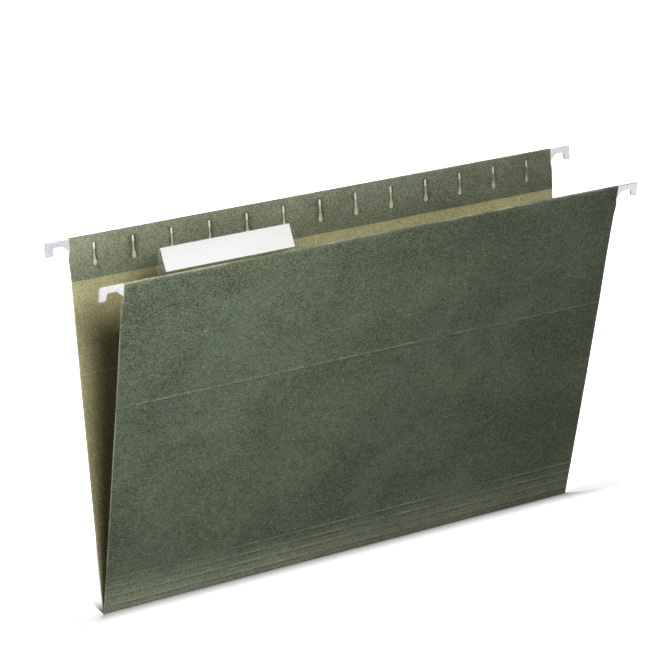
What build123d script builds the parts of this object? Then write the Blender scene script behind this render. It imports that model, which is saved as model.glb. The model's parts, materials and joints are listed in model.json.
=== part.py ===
from build123d import *
import math
import os

# A hanging file folder, in millimetres: one scored sheet folded into a V, a flat rod in the hem of each
# leaf, coated hook tips at the rod ends, and a clear tab with a plain paper insert on the front leaf.
# +Z is up, +X runs along the folder, the front leaf leans to -Y and the back leaf to +Y.
# The origin is under the middle of the bottom fold.

# Folder stock and its scores, measured along a leaf from the bottom fold
sheet_thickness = 0.28
body_width = 374.65
leaf_height = 260.35
first_score = 5.8
score_pitch = 7.6
score_count = 4
mid_score_drop = 93.2
score_radius = 0.22
crease_gap = 0.06

# Lean of the leaf from upright, in degrees: the stock bows a little outwards
gusset_tilt = 10.4
lower_tilt = 9.3
upper_tilt = 8.6

# Hem that wraps the rod and is glued to the inside of its leaf
hem_height = 29.4
glue_height = 6.5
glue_thickness = 0.1
glue_inset = 0.8
pocket_offset = 0.45
pocket_side_clearance = 0.25
pocket_top_clearance = 0.45
bend_clearance = 0.6
bend_height = 6.0
bend_radius = 20.0

# The sheet's ends are cut back beside the rod, so that the folded corners don't spread past the leaf
corner_inset = 0.8
corner_height = 10.3
corner_run = 4.0

# Tab slots in the hem: a slit that widens into a round mouth
slot_pitch = 27.94
slot_inset = 17.7
slot_drop = 5.2
slot_length = 15.8
slit_width = 1.5
mouth_radius = 1.6
flare_share = 0.6

# Steel rod with a hook at each end, and the plastic coat on the hooks
hook_reach = 15.625
rod_height = 9.2
rod_thickness = 1.0
rod_corner_radius = 1.0
arm_height = 3.8
notch_width = 7.0
notch_run = 5.4
notch_radius = 1.9
tip_width = 4.4
tip_lean = 0.4
tip_depth = 9.4
tip_radius = 1.6
hook_radius = 0.6
tip_coat = 0.25
tip_gap = 0.2

# Clear tab that stands on the front leaf, and its insert
vinyl_thickness = 0.3
tab_lean = 32.0
tab_clearance = 0.12
window_margin = 0.5
window_taper_width = 1.7
window_taper_height = 6.3
fold_radius = 0.5
fold_sink = 0.12
leg_height = 20.5
leg_corner_radius = 1.5
insert_width = 91.8
insert_height = 15.4
insert_thickness = 0.2
insert_clearance = 0.1
insert_side_clearance = 1.0
insert_rise = 1.0
lip_height = 1.4
lip_thickness = 0.3
prong_slots = (1, 3)
tab_shift = 3.2
prong_width = 7.0
prong_length = 13.2
prong_bend = 1.8
neck_height = 1.4
neck_clearance = 0.2
head_height = 3.6
head_rise = 1.0
head_clearance = 0.16
mouth_clearance = 0.1

# One overrun serves every cut
cut_overrun = 2.0

# Places that follow from the sizes above
scores = [first_score + score_pitch * i for i in range(score_count)]
last_score = scores[-1]
lower_height = leaf_height - mid_score_drop - last_score
upper_height = mid_score_drop
keel_start = sheet_thickness + crease_gap
strip_start = score_radius + crease_gap
gusset_start = first_score + strip_start

rod_length = body_width + 2 * hook_reach
pocket_half = rod_thickness / 2 + pocket_side_clearance
rod_depth = -pocket_offset
outer_wall = rod_depth - pocket_half
inner_wall = rod_depth + pocket_half
fold_outer_radius = pocket_half + sheet_thickness
fold_height = upper_height - fold_outer_radius
rod_top = upper_height - sheet_thickness - pocket_top_clearance
rod_foot = rod_top - rod_height
bend_top = rod_foot - bend_clearance
bend_foot = bend_top - bend_height
hem_foot = upper_height - hem_height
glue_top = hem_foot + glue_height
hem_face = inner_wall + sheet_thickness
corner_cut_depth = hem_face - outer_wall + sheet_thickness + 2 * cut_overrun
slot_top = upper_height - slot_drop
slot_count = 1 + int((body_width - 2 * slot_inset) // slot_pitch)
slot_places = [slot_inset - body_width / 2 + slot_pitch * i for i in range(slot_count)]

fold_width = insert_width + 2 * insert_side_clearance
window_width = fold_width + 2 * window_taper_width
window_height = insert_rise + insert_height + window_margin
fold_depth = fold_radius - fold_sink
lip_depth = insert_thickness + 2 * insert_clearance
tab_places = [slot_places[i] for i in prong_slots]
prong_middle = sum(tab_places) / len(tab_places)
tab_middle = prong_middle + tab_shift
tab_depth = hem_face + tab_clearance + vinyl_thickness
prong_foot = upper_height - prong_length
head_face = inner_wall - head_clearance


def up(side, tilt):
    angle = math.radians(tilt)
    return Vector(0, side * math.sin(angle), math.cos(angle))


def inward(side, tilt):
    angle = math.radians(tilt)
    return Vector(0, -side * math.cos(angle), math.sin(angle))


# Cross-section plane of a leaf: x points into the folder, y up the leaf
def section(side, tilt, origin):
    return Plane(origin=origin, x_dir=inward(side, tilt), z_dir=(-side, 0, 0))


# Plane along a leaf, seen from outside: x to the right, y up the leaf
def flat(side, tilt, origin, depth):
    inner = inward(side, tilt)
    return Plane(origin=origin + inner * depth, x_dir=(-side, 0, 0), z_dir=-inner)


class Leaf:
    def __init__(self, name, side):
        self.name = name
        self.side = side
        self.foot = Vector(0, 0, sheet_thickness)
        gusset_up = up(side, gusset_tilt)
        mid_plane = self.foot - inward(side, gusset_tilt) * (sheet_thickness / 2)
        self.last_axis = mid_plane + gusset_up * last_score
        lower_in = inward(side, lower_tilt)
        self.lower_foot = self.last_axis + lower_in * (sheet_thickness / 2)
        self.mid_axis = self.lower_foot + up(side, lower_tilt) * lower_height - lower_in * sheet_thickness
        self.upper_foot = self.mid_axis + inward(side, upper_tilt) * sheet_thickness

    def upper_flat(self, depth):
        return flat(self.side, upper_tilt, self.upper_foot, depth)

    def upper_section(self):
        return section(self.side, upper_tilt, self.upper_foot)


front = Leaf("front", -1)
back = Leaf("back", 1)


def save(piece, name):
    piece.label = name
    export_step(piece, f"parts/{name}.step")


# A flat stretch of the sheet between two heights, in a leaf's cross-section
def sheet_strip(start, end):
    with Locations((-sheet_thickness / 2, (start + end) / 2)):
        Rectangle(sheet_thickness, end - start)


# The half of a rod's outline to the right of its middle, from the top edge round to the lower edge
def rod_outline_points():
    end = rod_length / 2
    tip_inner = end - tip_width
    notch_far = tip_inner - tip_lean
    notch_near = notch_far - notch_width
    notch_top = rod_top - arm_height
    tip_foot = rod_top - tip_depth
    return [
        (0, rod_top),
        (end, rod_top),
        (end, tip_foot),
        (tip_inner, tip_foot),
        (notch_far, notch_top),
        (notch_near, notch_top),
        (notch_near - notch_run, rod_foot),
        (0, rod_foot),
    ]


# Radii of the corners between those points
rod_outline_radii = [hook_radius, hook_radius, tip_radius, notch_radius, notch_radius, rod_corner_radius]


# What is cut off the two top corners of a leaf, in its own plane
with BuildSketch() as corner_shape:
    with BuildLine():
        corner_foot = upper_height - corner_height
        Polyline(
            (body_width / 2, corner_foot - corner_run),
            (body_width / 2 - corner_inset, corner_foot),
            (body_width / 2 - corner_inset, upper_height + cut_overrun),
            (body_width / 2 + cut_overrun, upper_height + cut_overrun),
            (body_width / 2 + cut_overrun, corner_foot - corner_run),
            close=True,
        )
    make_face()
    mirror(about=Plane.YZ)


# Pieces of the sheet below the rod: the strip beside the fold, the gusset and the two panels
def make_sheet(leaf):
    name = leaf.name
    with BuildPart() as keel_strip:
        with BuildSketch(section(leaf.side, gusset_tilt, leaf.foot)):
            sheet_strip(keel_start, first_score)
            with Locations((-sheet_thickness / 2, first_score)):
                Circle(score_radius)
        extrude(amount=body_width / 2, both=True)
    save(keel_strip.part, f"{name}_keel_strip")

    with BuildPart() as gusset:
        with BuildSketch(section(leaf.side, gusset_tilt, leaf.foot)):
            sheet_strip(gusset_start, last_score)
            with Locations([(-sheet_thickness / 2, score) for score in scores[1:]]):
                Circle(score_radius)
        extrude(amount=body_width / 2, both=True)
    save(gusset.part, f"{name}_gusset")

    with BuildPart() as lower_panel:
        with BuildSketch(section(leaf.side, lower_tilt, leaf.lower_foot)):
            sheet_strip(strip_start, lower_height)
            with Locations((-sheet_thickness, lower_height)):
                Circle(score_radius)
        extrude(amount=body_width / 2, both=True)
    save(lower_panel.part, f"{name}_lower_panel")

    # The upper panel swells outwards round the rod
    with BuildPart() as upper_panel:
        with BuildSketch(leaf.upper_section()):
            with BuildLine():
                FilletPolyline(
                    (0, strip_start),
                    (0, bend_foot),
                    (outer_wall, bend_top),
                    (outer_wall, fold_height),
                    radius=bend_radius,
                )
                offset(amount=sheet_thickness, side=Side.LEFT)
            make_face()
        extrude(amount=body_width / 2, both=True)
        with BuildSketch(leaf.upper_flat(hem_face + cut_overrun)):
            add(corner_shape.sketch)
        extrude(amount=corner_cut_depth, mode=Mode.SUBTRACT)
    save(upper_panel.part, f"{name}_upper_panel")


# The hem turns over the rod and comes down inside the leaf to its glue line
def make_hem(leaf):
    name = leaf.name
    with BuildPart() as hem:
        with BuildSketch(leaf.upper_section()):
            with BuildLine():
                turn = ThreePointArc(
                    (outer_wall, fold_height),
                    (rod_depth, fold_height + pocket_half),
                    (inner_wall, fold_height),
                )
                FilletPolyline(
                    turn @ 1,
                    (inner_wall, bend_top),
                    (glue_thickness, glue_top),
                    (glue_thickness, hem_foot),
                    radius=bend_radius,
                )
                offset(amount=sheet_thickness, side=Side.LEFT)
            make_face()
        extrude(amount=body_width / 2, both=True)
        with BuildSketch(leaf.upper_flat(hem_face + cut_overrun)):
            with Locations([(-leaf.side * place, slot_top) for place in slot_places]):
                add(slot_shape.sketch)
        extrude(amount=hem_face + cut_overrun, mode=Mode.SUBTRACT)
        with BuildSketch(leaf.upper_flat(hem_face + cut_overrun)):
            add(corner_shape.sketch)
        extrude(amount=corner_cut_depth, mode=Mode.SUBTRACT)
    save(hem.part, f"{name}_hem")

    with BuildPart() as hem_glue:
        with BuildSketch(leaf.upper_section()):
            with Locations((glue_thickness / 2, (hem_foot + glue_top) / 2)):
                Rectangle(glue_thickness, glue_height - 2 * glue_inset)
        extrude(amount=body_width / 2 - glue_inset, both=True)
    save(hem_glue.part, f"{name}_hem_glue")


# Outline of one slot, hanging from the top end of its slit
with BuildSketch() as slot_shape:
    with Locations((0, -slot_length * flare_share)):
        Circle(slit_width / 2)
    with Locations((0, mouth_radius - slot_length)):
        Circle(mouth_radius)
    make_hull()
    with Locations((0, -slot_length / 2)):
        SlotOverall(slot_length, slit_width, rotation=90)


# Outline of a rod in the plane of its leaf
with BuildSketch() as rod_outline:
    with BuildLine():
        FilletPolyline(*rod_outline_points(), radius=rod_outline_radii)
        mirror(about=Plane.YZ)
    make_face()


def make_rod(leaf):
    name = leaf.name
    with BuildPart() as rod:
        with BuildSketch(leaf.upper_flat(rod_depth)):
            add(rod_outline.sketch)
        extrude(amount=rod_thickness / 2, both=True)
    save(rod.part, f"{name}_rod")

    reach = hook_reach + corner_inset + tip_coat
    for end_name, end_side in (("left", -1), ("right", 1)):
        start = body_width / 2 - corner_inset + tip_gap
        middle = -leaf.side * end_side * (start + reach / 2)
        with BuildPart() as tip:
            with BuildSketch(leaf.upper_flat(rod_depth)):
                add(rod_outline.sketch)
                offset(amount=tip_coat)
                with Locations((middle, rod_top - tip_depth / 2)):
                    Rectangle(reach, tip_depth + cut_overrun, mode=Mode.INTERSECT)
            extrude(amount=rod_thickness / 2 + tip_coat, both=True)
            add(rod.part, mode=Mode.SUBTRACT)
        save(tip.part, f"{name}_{end_name}_tip")


# Where the tab's window stands on the leaf, and the axis of the fold along its top
leaf_up = up(front.side, upper_tilt)
leaf_in = inward(front.side, upper_tilt)
tab_foot = front.upper_foot + leaf_in * tab_depth + leaf_up * upper_height + Vector(tab_middle, 0, 0)
window_up = up(back.side, tab_lean)
window_back = -inward(back.side, tab_lean)
tab_section = Plane(origin=tab_foot, x_dir=window_back, z_dir=(1, 0, 0))
fold_axis = tab_foot + window_up * window_height + window_back * fold_depth


def make_tab():
    taper_foot = window_height - window_taper_height
    with BuildPart() as window:
        with BuildSketch(Plane(origin=tab_foot, x_dir=(1, 0, 0), z_dir=-window_back)):
            with BuildLine():
                Polyline(
                    (0, 0),
                    (window_width / 2, 0),
                    (window_width / 2, taper_foot),
                    (fold_width / 2, window_height),
                    (0, window_height),
                )
                mirror(about=Plane.YZ)
            make_face()
        extrude(amount=vinyl_thickness)
        # The rolled fold along the top
        with BuildSketch(tab_section):
            with Locations((fold_depth, window_height)):
                Circle(fold_radius)
        extrude(amount=fold_width / 2, both=True)
        # The lip that the insert stands in
        shelf = insert_rise - insert_clearance
        with BuildSketch(tab_section):
            with BuildLine():
                Polyline(
                    (0, shelf - lip_thickness),
                    (lip_depth + lip_thickness, shelf - lip_thickness),
                    (lip_depth + lip_thickness, shelf + lip_height),
                    (lip_depth, shelf + lip_height),
                    (lip_depth, shelf),
                    (0, shelf),
                    close=True,
                )
            make_face()
        extrude(amount=insert_width / 2, both=True)
        # Two prongs come down inside the hem, with a barbed head through a slot each
        bend = math.radians(tab_lean + upper_tilt)
        bend_end = (tab_depth + prong_bend * math.sin(bend), upper_height + prong_bend * math.cos(bend))
        neck_length = tab_depth - head_face + vinyl_thickness
        for place in tab_places:
            profile = section(front.side, upper_tilt, front.upper_foot + Vector(place, 0, 0))
            with BuildSketch(profile):
                with BuildLine():
                    Polyline((tab_depth, prong_foot), (tab_depth, upper_height), bend_end)
                    offset(amount=vinyl_thickness, side=Side.LEFT)
                make_face()
            extrude(amount=prong_width / 2, both=True)
            with BuildSketch(profile):
                with Locations((tab_depth, prong_foot)):
                    Rectangle(neck_length, neck_height, align=(Align.MAX, Align.MIN))
            extrude(amount=slit_width / 2 - neck_clearance, both=True)
            with BuildSketch(profile):
                with Locations((head_face, prong_foot + neck_height + head_rise)):
                    Rectangle(vinyl_thickness, head_height, align=(Align.MAX, Align.MAX))
            extrude(amount=mouth_radius - mouth_clearance, both=True)
    save(window.part, "tab_window")

    with BuildPart() as leg:
        with BuildSketch(flat(front.side, upper_tilt, fold_axis, 0)) as outline:
            with Locations((0, -fold_radius - crease_gap)):
                Rectangle(fold_width, leg_height, align=(Align.CENTER, Align.MAX))
            fillet(outline.vertices().group_by(Axis.Y)[0], leg_corner_radius)
        extrude(amount=vinyl_thickness / 2, both=True)
    save(leg.part, "tab_back_leg")

    with BuildPart() as insert:
        with BuildSketch(tab_section):
            with Locations((insert_clearance, insert_rise)):
                Rectangle(insert_thickness, insert_height, align=(Align.MIN, Align.MIN))
        extrude(amount=insert_width / 2, both=True)
    save(insert.part, "tab_insert")


os.makedirs("parts", exist_ok=True)

# The bead of stock in the bottom fold
with BuildPart() as bottom_fold:
    with BuildSketch(Plane.YZ):
        with Locations((0, sheet_thickness)):
            Circle(sheet_thickness)
    extrude(amount=body_width / 2, both=True)
save(bottom_fold.part, "bottom_fold")

for leaf in (front, back):
    make_sheet(leaf)
    make_hem(leaf)
    make_rod(leaf)
make_tab()
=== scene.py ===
import json
import math
import bmesh
import bpy
from mathutils import Matrix, Vector, noise


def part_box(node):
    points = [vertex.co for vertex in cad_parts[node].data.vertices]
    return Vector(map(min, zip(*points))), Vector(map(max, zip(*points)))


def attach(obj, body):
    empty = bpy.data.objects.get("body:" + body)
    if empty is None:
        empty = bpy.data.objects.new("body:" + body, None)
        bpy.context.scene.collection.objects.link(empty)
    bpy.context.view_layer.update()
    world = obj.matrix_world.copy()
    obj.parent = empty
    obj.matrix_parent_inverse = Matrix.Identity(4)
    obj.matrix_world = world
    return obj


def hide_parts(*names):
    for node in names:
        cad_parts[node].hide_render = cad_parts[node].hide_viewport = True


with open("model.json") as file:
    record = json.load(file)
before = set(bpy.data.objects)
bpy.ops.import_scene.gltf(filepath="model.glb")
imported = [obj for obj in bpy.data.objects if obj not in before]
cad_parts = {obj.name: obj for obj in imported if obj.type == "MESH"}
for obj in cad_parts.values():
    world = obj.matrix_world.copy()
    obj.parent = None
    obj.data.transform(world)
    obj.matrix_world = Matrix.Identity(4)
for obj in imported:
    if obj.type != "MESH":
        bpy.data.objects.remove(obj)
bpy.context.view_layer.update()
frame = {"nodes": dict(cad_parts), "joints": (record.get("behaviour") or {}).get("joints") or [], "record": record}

mm = 0.001  # every size below is in metres
joints = {j["name"]: j for j in frame["joints"]}
mounts = {m["name"]: m for m in frame["record"]["mounts"]}
foldLow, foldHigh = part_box("bottom_fold")
sheetThickness = (foldHigh.z - foldLow.z) / 2
halfWidth = foldHigh.x


# Shader helpers

def newNode(tree, kind, **settings):
    node = tree.nodes.new(kind)
    for key, value in settings.items():
        setattr(node, key, value)
    return node


def link(tree, source, target):
    tree.links.new(source, target)


# A socket takes either a link or a plain value
def feed(tree, value, socket):
    if hasattr(value, "is_linked"):
        link(tree, value, socket)
    else:
        socket.default_value = value


def mathNode(tree, operation, *values, clamp=False):
    node = newNode(tree, "ShaderNodeMath", operation=operation, use_clamp=clamp)
    for value, socket in zip(values, node.inputs):
        feed(tree, value, socket)
    return node.outputs[0]


# A mix node's colours are its inputs 6 and 7 and its output 2
def mixColour(tree, factor, first, second):
    node = newNode(tree, "ShaderNodeMix", data_type="RGBA")
    feed(tree, factor, node.inputs[0])
    feed(tree, first, node.inputs[6])
    feed(tree, second, node.inputs[7])
    return node.outputs[2]


def remap(tree, value, low, high, newLow=0.0, newHigh=1.0):
    node = newNode(tree, "ShaderNodeMapRange", interpolation_type="SMOOTHSTEP")
    link(tree, value, node.inputs[0])
    for i, number in enumerate((low, high, newLow, newHigh)):
        node.inputs[i + 1].default_value = number
    return node.outputs[0]


def noiseNode(tree, vector, scale, detail, roughness, distortion=0.0):
    node = newNode(tree, "ShaderNodeTexNoise")
    link(tree, vector, node.inputs["Vector"])
    feed(tree, scale, node.inputs["Scale"])
    node.inputs["Detail"].default_value = detail
    node.inputs["Roughness"].default_value = roughness
    node.inputs["Distortion"].default_value = distortion
    return node.outputs["Fac"]


def srgb(red, green, blue):
    values = [v / 255 for v in (red, green, blue)]
    return tuple(v / 12.92 if v <= 0.04045 else ((v + 0.055) / 1.055) ** 2.4 for v in values) + (1.0,)


def newGroup(name, inputs, outputs):
    group = bpy.data.node_groups.new(name, "ShaderNodeTree")
    for socketName, socketType, value in inputs:
        socket = group.interface.new_socket(socketName, in_out="INPUT", socket_type=socketType)
        socket.default_value = value
    for socketName, socketType in outputs:
        group.interface.new_socket(socketName, in_out="OUTPUT", socket_type=socketType)
    return group, group.nodes.new("NodeGroupInput"), group.nodes.new("NodeGroupOutput")


# Pressed fibre stock: mottled grain, short fibres lying all ways, warm and cool clouds, paler where
# it is worn or handled and where painted light falls, and darker in a score's painted shade. A noise
# is its scale, detail, roughness and distortion. A range is the two values that come in and the two
# that they turn into, or 0 and 1.
fibreLook = {
    "fineNoise": (6.0, 0.78), "grainRange": (0.36, 0.64),  # its scale is the group's Grain
    "mottleNoise": (250.0, 4.0, 0.65, 0.4), "mottleRange": (0.3, 0.7, -0.1, 0.1),
    "cloudNoise": (17.0, 5.0, 0.6, 0.6), "cloudRange": (0.3, 0.7, -0.5, 0.5),
    "hueNoise": (7.0, 4.0, 0.65, 0.5), "hueRange": (0.36, 0.64),
    "bendScale": 240.0, "bendReach": 4.0 * mm,
    "fibreNoise": (1700.0, 2.0, 0.5, 0.2), "fibreRange": (0.6, 0.74), "fibreRise": 0.5,
    "fibreLays": ((0.45, 0.14), (-0.75, 0.18), (1.4, 0.2)),  # turn of each lot, and its scale lengthwise
    "speckNoise": (950.0, 3.0, 0.55), "speckRange": (0.36, 0.26), "speckShare": 0.5,
    "rubAndLightRange": (0.25, 0.7, 0.55, 1.0), "rubAndLightGrainRange": (0.0, 1.0, 0.5, 1.0), "rubAndLightWornShare": 0.6,
    "patchNoise": (70.0, 3.0, 0.6), "patchRange": (0.34, 0.62, 0.3, 1.0),
    "gapRange": (0.3, 0.62, 0.35, 1.0), "paleRange": (0.25, 0.8),
    "roughRange": (0.2, 0.8, 0.66, 0.86),
}


def makeFibreGroup():
    look = fibreLook
    group, gin, gout = newGroup(
        "fibreStock",
        [("Grain", "NodeSocketFloat", 620.0),
         ("Dark", "NodeSocketColor", (0.03, 0.04, 0.03, 1)),
         ("Light", "NodeSocketColor", (0.12, 0.14, 0.1, 1)),
         ("Cool", "NodeSocketColor", (0.1, 0.13, 0.11, 1)),
         ("Fleck", "NodeSocketColor", (0.2, 0.21, 0.15, 1)),
         ("Fleck Amount", "NodeSocketFloat", 0.35),
         ("Cloud Amount", "NodeSocketFloat", 0.3),
         ("Scuff", "NodeSocketColor", (0.22, 0.24, 0.17, 1)),
         ("Worn", "NodeSocketColor", (0.35, 0.34, 0.25, 1)),
         ("Wear And Painted Light", "NodeSocketFloat", 0.0),
         ("Rub And Painted Light", "NodeSocketFloat", 0.0)],
        [("Color", "NodeSocketColor"), ("Roughness", "NodeSocketFloat"), ("Height", "NodeSocketFloat")])
    dark, scuff, worn, wearAndPaintedLight = (gin.outputs[k] for k in ("Dark", "Scuff", "Worn", "Wear And Painted Light"))
    place = newNode(group, "ShaderNodeTexCoord").outputs["Object"]
    fine = noiseNode(group, place, gin.outputs["Grain"], *look["fineNoise"])
    mottle = noiseNode(group, place, *look["mottleNoise"])
    cloud = noiseNode(group, place, *look["cloudNoise"])
    hue = noiseNode(group, place, *look["hueNoise"])
    patches = noiseNode(group, place, *look["patchNoise"])

    # Fibres and specks, bent so that none runs straight
    bend = newNode(group, "ShaderNodeTexNoise")
    link(group, place, bend.inputs["Vector"])
    bend.inputs["Scale"].default_value = look["bendScale"]
    warp = newNode(group, "ShaderNodeVectorMath", operation="MULTIPLY_ADD")
    link(group, bend.outputs["Color"], warp.inputs[0])
    warp.inputs[1].default_value = [look["bendReach"]] * 3
    link(group, place, warp.inputs[2])
    streaks = []
    for turn, stretch in look["fibreLays"]:
        lay = newNode(group, "ShaderNodeMapping")
        link(group, warp.outputs[0], lay.inputs["Vector"])
        lay.inputs["Rotation"].default_value = (0.0, turn, 0.0)
        lay.inputs["Scale"].default_value = (stretch, 1.0, 1.0)
        fibre = noiseNode(group, lay.outputs[0], *look["fibreNoise"])
        streaks.append(remap(group, fibre, *look["fibreRange"]))
    fibres = mathNode(group, "MAXIMUM", mathNode(group, "MAXIMUM", streaks[0], streaks[1]), streaks[2])
    dots = remap(group, noiseNode(group, warp.outputs[0], *look["speckNoise"]), *look["speckRange"])
    specks = mathNode(group, "MULTIPLY", dots, look["speckShare"])

    # Plain stock
    mottled = remap(group, mottle, *look["mottleRange"])
    grain = mathNode(group, "ADD", remap(group, fine, *look["grainRange"]), mottled)
    spread = mathNode(group, "SUBTRACT", grain, specks)
    clouds = remap(group, cloud, *look["cloudRange"])
    shade = mathNode(group, "MULTIPLY_ADD", clouds, gin.outputs["Cloud Amount"], spread, clamp=True)
    pale = mixColour(group, remap(group, hue, *look["hueRange"]), gin.outputs["Light"], gin.outputs["Cool"])
    body = mixColour(group, shade, dark, pale)
    flecks = mathNode(group, "MULTIPLY", fibres, gin.outputs["Fleck Amount"])
    flecked = mixColour(group, flecks, body, gin.outputs["Fleck"])

    # Handled stretches, and light painted on through the same mask
    handledAndLit = mathNode(group, "MULTIPLY", gin.outputs["Rub And Painted Light"], remap(group, fine, *look["rubAndLightRange"]))
    rubAndLightTop = mixColour(group, look["rubAndLightWornShare"], scuff, worn)
    rubAndLightGrain = mixColour(group, remap(group, shade, *look["rubAndLightGrainRange"]), dark, rubAndLightTop)
    paled = mixColour(group, handledAndLit, flecked, rubAndLightGrain)

    # Scores and edges: paler where worn, with a painted highlight on a score's line, and values below
    # zero give the painted shade just below a score
    patchy = remap(group, patches, *look["patchRange"])
    paintedShade = mathNode(group, "MULTIPLY", wearAndPaintedLight, -1.0, clamp=True)
    shaded = mixColour(group, mathNode(group, "MULTIPLY", paintedShade, patchy), paled, dark)
    gaps = mathNode(group, "MULTIPLY", remap(group, fine, *look["gapRange"]), patchy)
    broken = mathNode(group, "MULTIPLY", wearAndPaintedLight, gaps, clamp=True)
    wornAndLit = mixColour(group, remap(group, wearAndPaintedLight, *look["paleRange"]), scuff, worn)
    link(group, mixColour(group, broken, shaded, wornAndLit), gout.inputs["Color"])
    link(group, remap(group, fine, *look["roughRange"]), gout.inputs["Roughness"])
    raised = mathNode(group, "MULTIPLY_ADD", fibres, look["fibreRise"], fine)
    link(group, raised, gout.inputs["Height"])
    return group


# Fine handling marks for plastic, metal and paper: a soft mask, with Grain as its noise's scale, and
# a slow ripple
marksLook = {"marksNoise": (4.0, 0.6, 0.2), "maskRange": (0.35, 0.65), "rippleNoise": (180.0, 2.0, 0.5)}


def makeMarksGroup():
    look = marksLook
    group, gin, gout = newGroup(
        "handlingMarks",
        [("Grain", "NodeSocketFloat", 300.0), ("Stretch", "NodeSocketFloat", 1.0),
         ("Low", "NodeSocketFloat", 0.25), ("High", "NodeSocketFloat", 0.45)],
        [("Mask", "NodeSocketFloat"), ("Roughness", "NodeSocketFloat"), ("Height", "NodeSocketFloat")])
    place = newNode(group, "ShaderNodeTexCoord").outputs["Object"]
    parts = newNode(group, "ShaderNodeSeparateXYZ")
    link(group, place, parts.inputs[0])
    joined = newNode(group, "ShaderNodeCombineXYZ")
    link(group, mathNode(group, "MULTIPLY", parts.outputs[0], gin.outputs["Stretch"]), joined.inputs[0])
    link(group, parts.outputs[1], joined.inputs[1])
    link(group, parts.outputs[2], joined.inputs[2])
    marks = noiseNode(group, joined.outputs[0], gin.outputs["Grain"], *look["marksNoise"])
    ripple = noiseNode(group, place, *look["rippleNoise"])
    mask = remap(group, marks, *look["maskRange"])
    low, high = gin.outputs["Low"], gin.outputs["High"]
    rough = mathNode(group, "MULTIPLY_ADD", mask, mathNode(group, "SUBTRACT", high, low), low)
    link(group, mask, gout.inputs["Mask"])
    link(group, rough, gout.inputs["Roughness"])
    link(group, ripple, gout.inputs["Height"])
    return group


fibreGroup = makeFibreGroup()
marksGroup = makeMarksGroup()
print("stage: shader groups ready")


def newMaterial(name):
    material = bpy.data.materials.new(name)
    material.use_nodes = True
    tree = material.node_tree
    return material, tree, tree.nodes["Principled BSDF"]


def placeGroup(tree, group, values):
    node = newNode(tree, "ShaderNodeGroup", node_tree=group)
    for key, value in values.items():
        node.inputs[key].default_value = value
    return node


def addBump(tree, shader, height, look):
    bump = newNode(tree, "ShaderNodeBump")
    bump.inputs["Strength"].default_value = look["bumpStrength"]
    bump.inputs["Distance"].default_value = look["bumpDistance"]
    link(tree, height, bump.inputs["Height"])
    link(tree, bump.outputs[0], shader.inputs["Normal"])


stockLook = {
    "outside": {"Grain": 1100.0, "Dark": srgb(30, 36, 31), "Light": srgb(107, 115, 92),
                "Cool": srgb(101, 113, 93), "Fleck": srgb(152, 158, 130), "Fleck Amount": 0.46,
                "Cloud Amount": 0.3, "Scuff": srgb(135, 143, 118), "Worn": srgb(184, 188, 163)},
    # The inside's Scuff tint is also the colour of the painted light on the pocket walls
    "inside": {"Grain": 1000.0, "Dark": srgb(136, 131, 95), "Light": srgb(195, 188, 143),
               "Cool": srgb(188, 185, 146), "Fleck": srgb(214, 208, 168), "Fleck Amount": 0.3,
               "Cloud Amount": 0.3, "Scuff": srgb(222, 220, 190), "Worn": srgb(230, 225, 196)},
    "edge": {"Grain": 900.0, "Dark": srgb(150, 148, 126), "Light": srgb(206, 203, 180),
             "Cool": srgb(202, 202, 184), "Fleck": srgb(220, 218, 200), "Fleck Amount": 0.4,
             "Cloud Amount": 0.2, "Scuff": srgb(206, 202, 178), "Worn": srgb(222, 216, 184)},
    "bumpDistance": 0.12 * mm, "bumpStrength": 0.45, "specular": 0.2,
}


def makeStock(name, values):
    material, tree, shader = newMaterial(name)
    group = placeGroup(tree, fibreGroup, values)
    for layer, socket in (("wearAndPaintedLight", "Wear And Painted Light"), ("rubAndPaintedLight", "Rub And Painted Light")):
        painted = newNode(tree, "ShaderNodeAttribute", attribute_name=layer)
        link(tree, painted.outputs["Fac"], group.inputs[socket])
    link(tree, group.outputs["Color"], shader.inputs["Base Color"])
    link(tree, group.outputs["Roughness"], shader.inputs["Roughness"])
    shader.inputs["Specular IOR Level"].default_value = stockLook["specular"]
    addBump(tree, shader, group.outputs["Height"], stockLook)
    return material


outsideStock = makeStock("outsideStock", stockLook["outside"])
insideStock = makeStock("insideStock", stockLook["inside"])
cutEdge = makeStock("cutEdge", stockLook["edge"])
sheetMaterials = [outsideStock, insideStock, cutEdge]
outsideFace, insideFace, edgeFace = range(3)  # their places in that list

coatLook = {"colour": srgb(246, 246, 249), "shaded": srgb(236, 236, 240),
            "bumpDistance": 0.04 * mm, "bumpStrength": 0.06,
            "marks": {"Grain": 260.0, "Stretch": 1.0, "Low": 0.26, "High": 0.42}}
rodLook = {"colour": srgb(240, 240, 246), "shaded": srgb(226, 226, 234),
           "bumpDistance": 0.02 * mm, "bumpStrength": 0.3,
           "marks": {"Grain": 1400.0, "Stretch": 0.04, "Low": 0.3, "High": 0.5}}
insertLook = {"colour": srgb(236, 236, 234), "shaded": srgb(229, 229, 227),
              "bumpDistance": 0.03 * mm, "bumpStrength": 0.3,
              "marks": {"Grain": 900.0, "Stretch": 1.0, "Low": 0.6, "High": 0.8}}
glueLook = {"colour": srgb(196, 184, 140), "shaded": srgb(176, 162, 118),
            "bumpDistance": 0.05 * mm, "bumpStrength": 0.3,
            "marks": {"Grain": 500.0, "Stretch": 1.0, "Low": 0.4, "High": 0.6}}


def makeMarked(name, look):
    material, tree, shader = newMaterial(name)
    marks = placeGroup(tree, marksGroup, look["marks"])
    colour = mixColour(tree, marks.outputs["Mask"], look["shaded"], look["colour"])
    link(tree, colour, shader.inputs["Base Color"])
    link(tree, marks.outputs["Roughness"], shader.inputs["Roughness"])
    addBump(tree, shader, marks.outputs["Height"], look)
    return material


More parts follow.
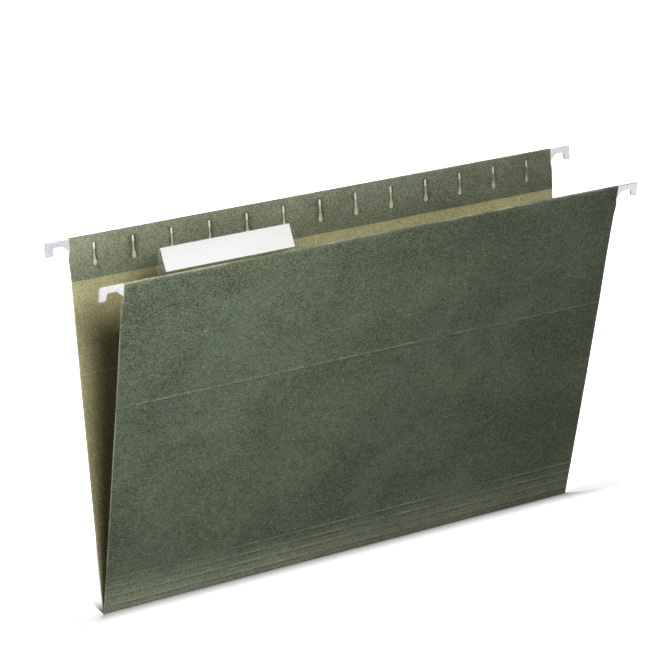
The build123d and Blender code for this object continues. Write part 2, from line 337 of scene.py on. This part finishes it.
whiteCoat = makeMarked("whiteCoat", coatLook)
paintedRod = makeMarked("paintedRod", rodLook)
insertPaper = makeMarked("insertPaper", insertLook)
driedGlue = makeMarked("driedGlue", glueLook)

vinylLook = {
    "face": {"colour": srgb(226, 230, 228), "facing": 0.02, "grazing": 0.09,
             "marks": {"Grain": 220.0, "Stretch": 0.4, "Low": 0.12, "High": 0.26}},
    # Cut edges are painted dark: painted shade for the edge's refraction and its shadow
    "edge": {"colour": srgb(84, 88, 78), "facing": 0.22, "grazing": 0.5,
             "marks": {"Grain": 220.0, "Stretch": 0.4, "Low": 0.45, "High": 0.6}},
    "slantBlend": 0.35, "bumpDistance": 0.05 * mm, "bumpStrength": 0.04,
}


# Clear vinyl: nearly unseen face on, milkier at a slant as a painted reflection, and dark along its cut edges as a
# painted shade
def makeVinyl(name, look):
    material, tree, shader = newMaterial(name)
    marks = placeGroup(tree, marksGroup, look["marks"])
    link(tree, marks.outputs["Roughness"], shader.inputs["Roughness"])
    shader.inputs["Base Color"].default_value = look["colour"]
    # Painted reflection: the film grows pale and opaque at a slant
    slant = newNode(tree, "ShaderNodeLayerWeight")
    slant.inputs["Blend"].default_value = vinylLook["slantBlend"]
    cover = remap(tree, slant.outputs["Facing"], 0.0, 1.0, look["facing"], look["grazing"])
    link(tree, cover, shader.inputs["Alpha"])
    addBump(tree, shader, marks.outputs["Height"], vinylLook)
    return material


clearVinyl = makeVinyl("clearVinyl", vinylLook["face"])
vinylShadedEdge = makeVinyl("vinylShadedEdge", vinylLook["edge"])
print("stage: materials ready")


# The folded sheet, leaf by leaf

settleRounds = 3


def inwardOf(up, side):
    return Vector((0, -side * up.z, side * up.y))


# A fold's axis lies within the stock's thickness, so a panel's direction is settled in a few rounds
def straighten(step, side):
    up = step.normalized()
    for _ in range(settleRounds):
        up = (step + inwardOf(up, side) * (sheetThickness / 2)).normalized()
    return up


class Leaf:
    def __init__(self, name, side):
        self.name = name
        self.side = side
        self.crease = Vector(joints[f"{name}_swing"]["pos_m"])
        self.score = Vector(joints[f"{name}_gusset_fold"]["pos_m"])
        self.mid = Vector(joints[f"{name}_mid_fold"]["pos_m"])
        self.gussetUp = straighten(self.score - self.crease, side)
        self.lowerUp = straighten(self.mid - self.score, side)
        self.upperUp = -Vector(mounts[f"{name}_left_seat"]["axis"])
        self.gussetHeight = (self.score - self.crease).dot(self.gussetUp)
        self.lowerHeight = (self.mid - self.score).dot(self.lowerUp)
        self.lowerFoot = self.score + inwardOf(self.lowerUp, side) * (sheetThickness / 2)
        self.upperFoot = self.mid + inwardOf(self.upperUp, side) * sheetThickness

    # Lowest and highest reach of a node up the upper leaf, and the same inwards
    def reach(self, node):
        inward = inwardOf(self.upperUp, self.side)
        steps = [v.co - self.upperFoot for v in frame["nodes"][node].data.vertices]
        heights = [s.dot(self.upperUp) for s in steps]
        depths = [s.dot(inward) for s in steps]
        return min(heights), max(heights), min(depths), max(depths)


creaseLook = {
    "firstScore": 5.8 * mm, "scorePitch": 7.6 * mm, "scoreCount": 3,  # up to the gusset's own top score
    "footGap": 0.05 * mm,  # between the bottom fold and the strip beside it
    "ridgeHeight": 0.16 * mm, "ridgeWidth": 0.7 * mm, "innerRidgeShare": 0.6,
    "beadRadius": 0.16 * mm, "beadSwell": 0.03 * mm, "beadSides": 14, "beadShort": 0.02 * mm,
    # A score's marks are wear with a painted highlight on its line; the sheet's ends are worn
    "markWidth": 0.75 * mm, "bottomWearAndLight": 0.68, "midWearAndLight": 0.6, "endWear": 0.8,
    "paintedShadeShare": 0.9, "paintedShadeDrop": 1.3 * mm,  # a score is pale on its line, partly a painted highlight, with a painted shade below
    "footRubAndLight": 1.0, "footReach": 20.0 * mm,  # the foot is paler from handling and from painted bounce light
    "paintedLightMiddle": 0.65, "paintedLightSlope": 0.3,  # and painted paler towards the left, where the light comes from
    "coarseStep": 7.0 * mm, "columnStep": 5.0 * mm, "leastStep": 0.04 * mm,
    "nearSteps": [step * mm for step in (0.1, 0.25, 0.45, 0.8, 1.3, 2.0, 3.0)],  # beside a score
}
waveLook = {"height": 0.45 * mm, "gussetShare": 0.25, "slowScales": (5.0, 3.0, 7.0),
            "quickScales": (13.0, 5.0, 17.0), "quickStart": 4.0, "quickShare": 0.35}
pressLook = {"scales": (22.0, 6.0, 60.0), "middle": 0.75, "swing": 0.7, "least": 0.2, "most": 1.2}


def stepsBetween(start, end, marks, coarse):
    places = {start, end}
    count = max(1, round((end - start) / coarse))
    places.update(start + (end - start) * i / count for i in range(count + 1))
    for mark in marks:
        places.add(mark)
        places.update(mark + side * near for near in creaseLook["nearSteps"] for side in (-1, 1))
    kept = []
    for place in sorted(p for p in places if start <= p <= end):
        if not kept or place - kept[-1] > creaseLook["leastStep"]:
            kept.append(place)
    kept[-1] = end
    return kept


def limit(value, low, high):
    return min(max(value, low), high)


def bell(distance, width):
    return math.exp(-(distance / width) ** 2)


# Pale on the line of a score, partly wear and partly a painted highlight, with a painted shade just below it
def scoreWearAndLight(distance, amount):
    look = creaseLook
    below = bell(distance + look["paintedShadeDrop"], look["markWidth"]) * look["paintedShadeShare"]
    return amount * (bell(distance, look["markWidth"]) - below)


# A row is a point of the sheet's inner face, its inward normal, ridge lift, wear with painted
# highlight and shade, the rub and painted light of its outer and inner faces, freedom to wave and end
# inset
def flatRows(foot, up, side, start, end, marks, footRubAndLight=0.0, wave=1.0):
    look = creaseLook
    inward = inwardOf(up, side)
    rows = []
    for place in stepsBetween(start, end, list(marks), look["coarseStep"]):
        lift = sum(look["ridgeHeight"] * bell(place - mark, look["ridgeWidth"]) for mark in marks)
        wearsAndLight = [scoreWearAndLight(place - mark, amount) for mark, amount in marks.items()]
        wearAndPaintedLight = max(wearsAndLight) if max(wearsAndLight) > -min(wearsAndLight) else min(wearsAndLight)
        rubAndPaintedLight = footRubAndLight * bell(place, look["footReach"])
        free = wave * math.sin(math.pi * limit((place - start) / (end - start), 0.0, 1.0))
        rows.append((foot + up * place, inward, lift, wearAndPaintedLight, (rubAndPaintedLight, 0.0), free, 0.0))
    return rows


def noiseAt(x, point, scales, start=0.0):
    return noise.noise(Vector((x * scales[0] + start, point.y * scales[1], point.z * scales[2])))


def waveAt(x, point):
    look = waveLook
    slow = noiseAt(x, point, look["slowScales"])
    quick = noiseAt(x, point, look["quickScales"], look["quickStart"])
    return look["height"] * (slow + look["quickShare"] * quick)


# A score is pressed unevenly along its length
def pressAt(x, point):
    look = pressLook
    press = look["middle"] + look["swing"] * noiseAt(x, point, look["scales"])
    return limit(press, look["least"], look["most"])


def linkObject(name, data):
    piece = bpy.data.objects.new(name, data)
    bpy.context.scene.collection.objects.link(piece)
    return piece


def meshFrom(bm, name, materials):
    mesh = bpy.data.meshes.new(name)
    bm.to_mesh(mesh)
    bm.free()
    for material in materials:
        mesh.materials.append(material)
    return mesh


def shadeSmooth(mesh, sharpAngle=32):
    mesh.polygons.foreach_set("use_smooth", [True] * len(mesh.polygons))
    mesh.set_sharp_from_angle(angle=math.radians(sharpAngle))
    mesh.update()


# A sheet through the rows, green outside, tan inside, pale round its cut edge, with any beads along X
def buildSheet(name, rows, beads=()):
    look = creaseLook
    columns = stepsBetween(-halfWidth, halfWidth, [-halfWidth, halfWidth], look["columnStep"])
    bm = bmesh.new()
    wearAndLightLayer = bm.verts.layers.float.new("wearAndPaintedLight")
    rubAndLightLayer = bm.verts.layers.float.new("rubAndPaintedLight")
    outer, inner = [], []
    for x in columns:
        endWear = look["endWear"] * bell(halfWidth - abs(x), look["markWidth"])
        # Painted light: the rub is stronger towards the left, where the light comes from
        paintedLeftLight = look["paintedLightMiddle"] - look["paintedLightSlope"] * x / halfWidth
        outerColumn, innerColumn = [], []
        for point, inward, lift, wearAndPaintedLight, rubAndPaintedLight, free, inset in rows:
            base = point + Vector((x * (1 - inset / halfWidth), 0, 0)) + inward * (waveAt(x, point) * free)
            press = pressAt(x, point)
            ridge = lift * press
            sides = ((outerColumn, sheetThickness + ridge, rubAndPaintedLight[0] * paintedLeftLight),
                     (innerColumn, ridge * look["innerRidgeShare"], rubAndPaintedLight[1]))
            for column, depth, pale in sides:
                vert = bm.verts.new(base - inward * depth)
                vert[wearAndLightLayer] = wearAndPaintedLight * press + endWear * (1 - max(wearAndPaintedLight, 0.0))
                vert[rubAndLightLayer] = pale
                column.append(vert)
        outer.append(outerColumn)
        inner.append(innerColumn)
    corner = outer[0][0].co
    flip = (outer[0][1].co - corner).cross(outer[1][0].co - corner).dot(rows[0][1]) > 0

    def face(verts, index):
        made = bm.faces.new(verts if flip else verts[::-1])
        made.material_index = index

    lastRow, lastColumn = len(rows) - 1, len(columns) - 1
    for i in range(lastColumn):
        for j in range(lastRow):
            face([outer[i][j], outer[i + 1][j], outer[i + 1][j + 1], outer[i][j + 1]], outsideFace)
            face([inner[i][j], inner[i][j + 1], inner[i + 1][j + 1], inner[i + 1][j]], insideFace)
        face([outer[i][0], inner[i][0], inner[i + 1][0], outer[i + 1][0]], edgeFace)
        face([outer[i][lastRow], outer[i + 1][lastRow], inner[i + 1][lastRow], inner[i][lastRow]], edgeFace)
    for j in range(lastRow):
        face([outer[0][j], outer[0][j + 1], inner[0][j + 1], inner[0][j]], edgeFace)
        face([outer[-1][j], inner[-1][j], inner[-1][j + 1], outer[-1][j + 1]], edgeFace)
    bmesh.ops.recalc_face_normals(bm, faces=bm.faces)
    for centre, radius, wearAndPaintedLight in beads:
        turn = Matrix.Translation(centre) @ Matrix.Rotation(math.pi / 2, 4, "Y")
        made = bmesh.ops.create_cone(bm, cap_ends=True, segments=look["beadSides"], radius1=radius,
                                     radius2=radius, depth=2 * halfWidth - look["beadShort"], matrix=turn)
        for vert in made["verts"]:
            vert[wearAndLightLayer] = wearAndPaintedLight
    mesh = meshFrom(bm, name, sheetMaterials)
    shadeSmooth(mesh)
    return linkObject(name, mesh)


def dress(piece, body, slotName, *nodes):
    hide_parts(*nodes)
    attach(piece, body)


def makeGusset(leaf):
    look = creaseLook
    name = leaf.name
    places = [look["firstScore"] + look["scorePitch"] * i for i in range(look["scoreCount"])]
    marks = {place: look["bottomWearAndLight"] for place in places + [leaf.gussetHeight]}
    rows = flatRows(leaf.crease, leaf.gussetUp, leaf.side, look["footGap"], leaf.gussetHeight, marks,
                    look["footRubAndLight"], waveLook["gussetShare"])
    bead = (leaf.score, sheetThickness / 2 + look["beadSwell"], look["bottomWearAndLight"])
    piece = buildSheet(f"{name}GussetStrips", rows, [bead])
    dress(piece, f"{name}_gusset_strips", "folder_stock", f"{name}_keel_strip", f"{name}_gusset")


def makeLower(leaf):
    look = creaseLook
    marks = {0.0: look["bottomWearAndLight"], leaf.lowerHeight: look["midWearAndLight"]}
    rows = flatRows(leaf.lowerFoot, leaf.lowerUp, leaf.side, 0.0, leaf.lowerHeight, marks)
    piece = buildSheet(f"{leaf.name}LowerPanel", rows, [(leaf.mid, look["beadRadius"], look["midWearAndLight"])])
    dress(piece, f"{leaf.name}_lower", "folder_stock", f"{leaf.name}_lower_panel")


hemLook = {
    "bendTop": 10.53 * mm, "bendFoot": 27.0 * mm, "glueTop": 22.9 * mm,  # below the top edge
    "bendSteps": 12, "wallSteps": 4, "turnSteps": 14, "closeSteps": 8, "footStep": 3.0 * mm,
    # The top turn is pale from wear and from a painted highlight along its lit edge; the hem's foot is a worn cut
    # edge
    "topWearAndHighlight": 0.9, "topWidth": 0.95 * mm, "edgeWear": 0.5,
    "rubAndPaintedLight": 1.05, "footShare": 0.5,  # the hem is painted paler towards its top, as painted light
    "pocketPaintedLight": 0.8,  # painted light on the wall behind the slots, lifting its shade
    "cornerInset": 0.8 * mm, "cornerHeight": 10.3 * mm, "cornerRun": 4.0 * mm,  # cut back beside the rod
}
slotLook = {
    "pitch": 27.94 * mm, "inset": 17.7 * mm, "drop": 5.2 * mm, "length": 15.8 * mm,
    "slit": 1.5 * mm, "mouth": 1.6 * mm, "flareShare": 0.6, "arcSteps": 10,
    "cutterStart": 0.05 * mm, "cutterOverrun": 1.0 * mm,
}


def smoothStep(share):
    share = limit(share, 0.0, 1.0)
    return share * share * (3 - 2 * share)


def sharesOf(count):
    return [i / count for i in range(1, count + 1)]


# Upper panel and hem are one stretch of sheet: up the leaf, round the rod and down inside
def upperRows(leaf):
    look = hemLook
    hemFoot, top, hemOut, _ = leaf.reach(f"{leaf.name}_hem")
    _, _, rodOut, rodIn = leaf.reach(f"{leaf.name}_rod")
    glueDepth = leaf.reach(f"{leaf.name}_hem_glue")[3]
    up, inward = leaf.upperUp, inwardOf(leaf.upperUp, leaf.side)
    rodDepth = (rodOut + rodIn) / 2
    pocket = rodDepth - hemOut - sheetThickness
    outerWall, innerWall = rodDepth - pocket, rodDepth + pocket
    turnHeight = top - pocket - sheetThickness
    bendTop, bendFoot, glueTop = (top - look[k] for k in ("bendTop", "bendFoot", "glueTop"))

    profile = []  # depth and height up the outer wall, over the rod and down the hem
    for share in sharesOf(look["bendSteps"]):
        profile.append((outerWall * smoothStep(share), bendFoot + (bendTop - bendFoot) * share))
    for share in sharesOf(look["wallSteps"]):
        profile.append((outerWall, bendTop + (turnHeight - bendTop) * share))
    for share in sharesOf(look["turnSteps"]):
        angle = math.pi * (1 - share)
        profile.append((rodDepth + pocket * math.cos(angle), turnHeight + pocket * math.sin(angle)))
    for share in sharesOf(look["wallSteps"]):
        profile.append((innerWall, turnHeight + (bendTop - turnHeight) * share))
    for share in sharesOf(look["closeSteps"]):
        depth = innerWall + (glueDepth - innerWall) * smoothStep(share)
        profile.append((depth, bendTop + (glueTop - bendTop) * share))
    footHeights = stepsBetween(hemFoot, glueTop, [hemFoot], look["footStep"])
    profile += [(glueDepth, height) for height in footHeights[::-1][1:]]

    rows = flatRows(leaf.upperFoot, up, leaf.side, 0.0, bendFoot, {0.0: creaseLook["midWearAndLight"]})
    for i, (depth, height) in enumerate(profile):
        before = profile[i - 1] if i else (0.0, bendFoot - mm)  # the panel below is flat
        after = profile[min(i + 1, len(profile) - 1)]
        run = Vector((after[0] - before[0], after[1] - before[1])).normalized()
        normal = inward * run.y - up * run.x
        # Wear and a painted highlight along the top turn
        wearAndPaintedLight = look["topWearAndHighlight"] * bell(height - top, look["topWidth"])
        # Painted light on the pocket wall behind the slots
        rubAndPaintedLight = (0.0, look["pocketPaintedLight"])
        if i > len(profile) / 2:  # past the turn, so on the hem
            wearAndPaintedLight = max(wearAndPaintedLight, look["edgeWear"] * bell(height - hemFoot, creaseLook["markWidth"]))
            # Painted light: the hem is paler towards its top, where the light falls
            topShare = (height - hemFoot) / (top - hemFoot)
            rubAndPaintedLight = (look["rubAndPaintedLight"] * (look["footShare"] + (1 - look["footShare"]) * topShare), 0.0)
        cutBack = (height - top + look["cornerHeight"]) / look["cornerRun"] + 1
        inset = look["cornerInset"] * limit(cutBack, 0.0, 1.0)
        rows.append((leaf.upperFoot + inward * depth + up * height, normal, 0.0, wearAndPaintedLight, rubAndPaintedLight, 0.0, inset))
    return rows


def slotOutline():
    look = slotLook
    steps = look["arcSteps"]
    half = look["slit"] / 2
    flare = -look["length"] * look["flareShare"]
    mouthAt = look["mouth"] - look["length"]
    # The flare's sides are tangent to the mouth
    lean = math.asin((look["mouth"] - half) / (flare - mouthAt))
    points = [(half * math.cos(math.pi * i / steps), half * math.sin(math.pi * i / steps) - half)
              for i in range(steps + 1)]
    points.append((-half, flare))
    for i in range(2 * steps + 1):
        angle = math.pi - lean + (math.pi + 2 * lean) * i / (2 * steps)
        points.append((look["mouth"] * math.cos(angle), mouthAt + look["mouth"] * math.sin(angle)))
    points.append((half, flare))
    return points


def slotCutters(leaf):
    look = slotLook
    _, top, _, hemIn = leaf.reach(f"{leaf.name}_hem")
    up, inward = leaf.upperUp, inwardOf(leaf.upperUp, leaf.side)
    count = 1 + int((2 * halfWidth - 2 * look["inset"]) // look["pitch"])
    outline = slotOutline()
    bm = bmesh.new()
    for i in range(count):
        x = look["inset"] - halfWidth + look["pitch"] * i
        near, far = [], []
        for across, height in outline:
            base = leaf.upperFoot + up * (top - look["drop"] + height) + Vector((x + across, 0, 0))
            near.append(bm.verts.new(base + inward * look["cutterStart"]))
            far.append(bm.verts.new(base + inward * (hemIn + look["cutterOverrun"])))
        bm.faces.new(near)
        bm.faces.new(far[::-1])
        for a in range(len(outline)):
            b = (a + 1) % len(outline)
            bm.faces.new((near[a], far[a], far[b], near[b]))
    for made in bm.faces:
        made.material_index = edgeFace
    bmesh.ops.recalc_face_normals(bm, faces=bm.faces)
    name = f"{leaf.name}SlotCutters"
    return linkObject(name, meshFrom(bm, name, sheetMaterials))


def cutAway(piece, cutter):
    cut = piece.modifiers.new("slots", "BOOLEAN")
    cut.operation = "DIFFERENCE"
    cut.solver = "EXACT"
    cut.object = cutter
    bpy.context.view_layer.update()
    graph = bpy.context.evaluated_depsgraph_get()
    mesh = bpy.data.meshes.new_from_object(piece.evaluated_get(graph))
    piece.modifiers.clear()
    piece.data = mesh
    bpy.data.objects.remove(cutter)
    shadeSmooth(mesh)


def makeUpper(leaf):
    piece = buildSheet(f"{leaf.name}UpperPanel", upperRows(leaf))
    cutAway(piece, slotCutters(leaf))
    dress(piece, f"{leaf.name}_upper", "folder_stock", f"{leaf.name}_upper_panel", f"{leaf.name}_hem")


leaves = [Leaf("front", -1), Leaf("back", 1)]
for leaf in leaves:
    makeGusset(leaf)
    makeLower(leaf)
    makeUpper(leaf)
    print("stage:", leaf.name, "leaf folded")


# Pieces that keep the model's own form, softened along their edges

softLook = {"mergeWithin": 0.001 * mm,
            "flatAngle": 1, "sharpAngle": 30, "shadeAngle": 50}  # in degrees


def softCopy(node, name, materials, bevel, segments):
    look = softLook
    flatAngle, sharpAngle = (math.radians(look[k]) for k in ("flatAngle", "sharpAngle"))
    bm = bmesh.new()
    bm.from_mesh(frame["nodes"][node].data)
    bmesh.ops.remove_doubles(bm, verts=bm.verts, dist=look["mergeWithin"])
    bmesh.ops.dissolve_limit(bm, angle_limit=flatAngle, verts=bm.verts, edges=bm.edges)
    sharp = [e for e in bm.edges if len(e.link_faces) == 2 and e.calc_face_angle(0) > sharpAngle]
    bmesh.ops.bevel(bm, geom=sharp, offset=bevel, segments=segments, profile=0.5, affect="EDGES",
                    clamp_overlap=True)
    mesh = meshFrom(bm, name, materials)
    shadeSmooth(mesh, look["shadeAngle"])
    return linkObject(name, mesh)


tipLook = {"bevel": 0.16 * mm, "segments": 3}
for leaf in leaves:
    for end in ("left", "right"):
        node = f"{leaf.name}_{end}_tip"
        name = f"{leaf.name}{end.title()}Tip"
        piece = softCopy(node, name, [whiteCoat], tipLook["bevel"], tipLook["segments"])
        dress(piece, f"{leaf.name}_upper", "white_coat", node)

tabLook = {"bevel": 0.05 * mm, "segments": 1, "faceShare": 0.9,
           "insertBevel": 0.04 * mm, "insertSegments": 2}


# Faces that look along the vinyl's own thickness are clear, and the rest are cut edges with painted shade
def clearFaces(piece):
    thick = max(piece.data.polygons, key=lambda p: p.area).normal.copy()
    for polygon in piece.data.polygons:
        polygon.material_index = 0 if abs(polygon.normal.dot(thick)) > tabLook["faceShare"] else 1


for node, name, body in (("tab_window", "tabWindow", "front_upper"),
                         ("tab_back_leg", "tabBackLeg", "tab_leg")):
    piece = softCopy(node, name, [clearVinyl, vinylShadedEdge], tabLook["bevel"], tabLook["segments"])
    clearFaces(piece)
    dress(piece, body, "clear_vinyl", node)
piece = softCopy("tab_insert", "tabInsert", [insertPaper],
                 tabLook["insertBevel"], tabLook["insertSegments"])
dress(piece, "insert", "insert_paper", "tab_insert")
print("stage: tips and tab ready")

for node, material in (("bottom_fold", outsideStock), ("front_rod", paintedRod), ("back_rod", paintedRod),
                       ("front_hem_glue", driedGlue), ("back_hem_glue", driedGlue)):
    mesh = frame["nodes"][node].data
    mesh.materials.clear()
    mesh.materials.append(material)


# Stage, light and camera

white = (1.0, 1.0, 1.0)
stageLook = {
    "floorSize": 60.0, "seenColour": (0.84, 0.84, 0.84, 1), "bounceColour": (0.22, 0.22, 0.21, 1),
    "roughness": 0.9,
    "awayRange": (0.35, 1.5, 0.05, 0.98),  # white fades in away from the shadow
    "behindRange": (0.0, 0.02, 0.0, 0.98),  # and glows white behind the folder, a painted light over its shadow there
    "ambient": 0.025, "ambientTint": (0.75, 1.0, 1.3, 1),
}


def seenDirectly(tree):
    path = newNode(tree, "ShaderNodeLightPath")
    seen = mathNode(tree, "ADD", path.outputs["Is Camera Ray"], path.outputs["Is Glossy Ray"])
    return mathNode(tree, "ADD", seen, path.outputs["Is Transmission Ray"], clamp=True)


def makePaleFloor():
    look = stageLook
    material, tree, shader = newMaterial("paleFloor")
    seen = seenDirectly(tree)
    link(tree, mixColour(tree, seen, look["bounceColour"], look["seenColour"]), shader.inputs["Base Color"])
    shader.inputs["Roughness"].default_value = look["roughness"]
    shader.inputs["Specular IOR Level"].default_value = 0.0
    shader.inputs["Emission Color"].default_value = white + (1.0,)
    place = newNode(tree, "ShaderNodeTexCoord").outputs["Object"]
    away = newNode(tree, "ShaderNodeVectorMath", operation="LENGTH")
    link(tree, place, away.inputs[0])
    parts = newNode(tree, "ShaderNodeSeparateXYZ")
    link(tree, place, parts.inputs[0])
    around = remap(tree, away.outputs["Value"], *look["awayRange"])
    # Painted light: the floor glows white behind the folder, hiding its shadow there
    behind = remap(tree, parts.outputs["Y"], *look["behindRange"])
    lift = mathNode(tree, "MAXIMUM", around, behind)
    link(tree, mathNode(tree, "MULTIPLY", seen, lift), shader.inputs["Emission Strength"])
    return material


def makeFloor():
    bm = bmesh.new()
    bmesh.ops.create_grid(bm, x_segments=1, y_segments=1, size=stageLook["floorSize"] / 2)
    floor = linkObject("floor", meshFrom(bm, "floor", [makePaleFloor()]))
    return floor


def makeWorld():
    world = bpy.data.worlds.new("studio")
    bpy.context.scene.world = world
    world.use_nodes = True
    tree = world.node_tree
    background = tree.nodes["Background"]
    seen = seenDirectly(tree)
    link(tree, mixColour(tree, seen, stageLook["ambientTint"], white + (1.0,)), background.inputs["Color"])
    link(tree, remap(tree, seen, 0.0, 1.0, stageLook["ambient"], 1.0), background.inputs["Strength"])


# A soft box close to the upper left gives the main light. The white insert, the left tips and the
# far tips would clip under it, so each of them has a lamp of its own, and the floor has one for its
# shadow. A lamp's lights are the set of pieces that it falls on.
lampLook = [
    {"name": "key", "place": (-0.212, -0.3, 0.44), "aim": (-0.12, 0.0, 0.2), "size": 0.11,
     "spread": 180, "power": 1.42, "colour": (1.0, 0.98, 0.9), "lights": "stock"},
    {"name": "front", "place": (-0.22, -0.95, 0.45), "aim": (-0.24, -0.04, 0.2), "size": 0.25,
     "spread": 90, "power": 0.45, "colour": (0.92, 1.0, 1.1), "lights": "folder"},
    {"name": "low", "place": (-0.2, -0.45, 0.12), "aim": (-0.16, 0.0, 0.1), "size": 0.2,
     "spread": 120, "power": 0.19, "colour": white, "lights": "stock"},
    {"name": "farEnd", "place": (0.22, -0.25, 0.75), "aim": (0.14, 0.04, 0.24), "size": 0.2,
     "spread": 45, "power": 0.12, "colour": white, "lights": "stock"},
    {"name": "rear", "place": (0.5, 1.3, 0.6), "aim": (0.0, 0.0, 0.14), "size": 0.6,
     "spread": 180, "power": 12.0, "colour": white, "lights": "folder"},
    {"name": "leftTips", "place": (-0.215, -0.31, 0.45), "aim": (-0.12, 0.0, 0.2), "size": 0.15,
     "spread": 180, "power": 1.0, "colour": white, "lights": "leftTips"},
    {"name": "insertLight", "place": (-0.1, -0.68, 0.64), "aim": (-0.11, -0.05, 0.26), "size": 0.25,
     "spread": 180, "power": 4.8, "colour": (1.0, 0.985, 0.97), "lights": "insert"},
    {"name": "farTips", "place": (0.35, -0.9, 0.5), "aim": (0.2, 0.0, 0.26), "size": 0.3,
     "spread": 180, "power": 5.6, "colour": white, "lights": "farTips"},
    {"name": "floorLight", "place": (-0.1, -0.375, 2.5), "aim": (0.0, 0.0, 0.0), "size": 0.14,
     "spread": 180, "power": 80.0, "colour": white, "lights": "floor"},
]


def lampTargets(name, objects, state):
    targets = bpy.data.collections.new(name)
    for i, target in enumerate(objects):
        targets.objects.link(target)
        targets.collection_objects[i].light_linking.link_state = state
    return targets


def makeLamps(floor):
    farTips = [bpy.data.objects[f"{leaf.name}RightTip"] for leaf in leaves]
    leftTips = [bpy.data.objects[f"{leaf.name}LeftTip"] for leaf in leaves]
    insert = [bpy.data.objects["tabInsert"]]
    targets = {"floor": lampTargets("floorOnly", [floor], "INCLUDE"),
               "folder": lampTargets("notFloor", [floor], "EXCLUDE"),
               "stock": lampTargets("notWhites", [floor] + leftTips + farTips + insert, "EXCLUDE"),
               "leftTips": lampTargets("leftTipsOnly", leftTips, "INCLUDE"),
               "insert": lampTargets("insertOnly", insert, "INCLUDE"),
               "farTips": lampTargets("farTipsOnly", farTips, "INCLUDE")}
    for look in lampLook:
        data = bpy.data.lights.new(look["name"], "AREA")
        data.shape = "DISK"
        data.size = look["size"]
        data.energy = look["power"]
        data.color = look["colour"]
        data.spread = math.radians(look["spread"])
        lamp = linkObject(look["name"], data)
        lamp.location = look["place"]
        lamp.visible_camera = False
        lamp.light_linking.receiver_collection = targets[look["lights"]]
        aim = Vector(look["aim"]) - Vector(look["place"])
        lamp.rotation_euler = aim.to_track_quat("-Z", "Y").to_euler()


cameraLook = {"place": (-0.7879, -1.3538, 0.8677), "yaw": -29.72, "pitch": -24.0, "roll": 0.89,
              "lens": 137.67, "sensor": 36.0, "farthest": 100.0}


def makeCamera():
    look = cameraLook
    data = bpy.data.cameras.new("photoView")
    data.lens = look["lens"]
    data.sensor_width = look["sensor"]
    data.clip_end = look["farthest"]
    yaw, pitch, roll = (math.radians(look[k]) for k in ("yaw", "pitch", "roll"))
    right = Vector((math.cos(yaw), math.sin(yaw), 0))
    ahead = Vector((-math.sin(yaw) * math.cos(pitch), math.cos(yaw) * math.cos(pitch), math.sin(pitch)))
    up = right.cross(ahead)
    leanRight = right * math.cos(roll) + up * math.sin(roll)
    leanUp = up * math.cos(roll) - right * math.sin(roll)
    camera = linkObject("photoView", data)
    turn = Matrix((leanRight, leanUp, -ahead)).transposed()
    camera.matrix_world = Matrix.Translation(look["place"]) @ turn.to_4x4()
    bpy.context.scene.camera = camera


makeWorld()
makeLamps(makeFloor())
makeCamera()
bpy.context.scene.view_settings.view_transform = "Standard"
print("stage: studio ready")
